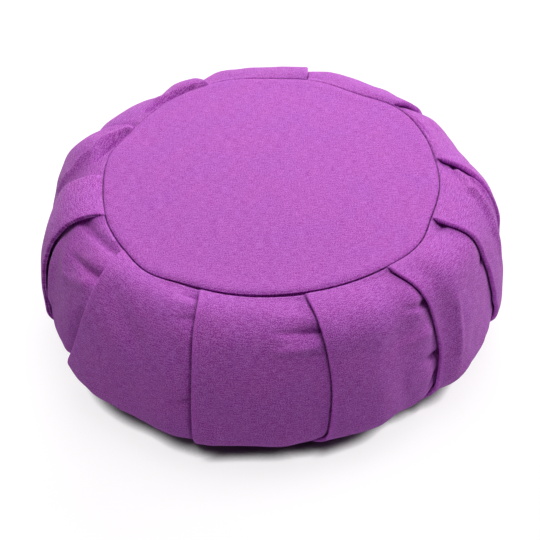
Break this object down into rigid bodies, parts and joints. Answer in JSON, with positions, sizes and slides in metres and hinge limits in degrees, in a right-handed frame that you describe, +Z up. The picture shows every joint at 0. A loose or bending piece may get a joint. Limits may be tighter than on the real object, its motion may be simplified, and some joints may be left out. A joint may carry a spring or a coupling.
{
  "type": "zafu meditation cushion",
  "caption": "Round pleated floor cushion of plain cotton, low and firmly filled, with a flat top panel and a carry strap on its side.",
  "frame": {"origin": "middle of the bottom panel, on the floor", "axes": "+Z up through the middle of the top panel, -X towards the carry strap"},
  "size_m": [0.3398, 0.3387, 0.1382],
  "materials": {
    "band_cloth": "matt purple cotton, closely woven",
    "panel_cloth": "matt purple cotton, closely woven",
    "base_cloth": "matt purple cotton, closely woven",
    "strap_cloth": "matt purple cotton, folded double"
  },
  "bodies": {
    "root": {"side_band": "band_cloth", "top_panel": "panel_cloth", "bottom_panel": "base_cloth", "carry_strap": "strap_cloth"}
  },
  "joints": []
}
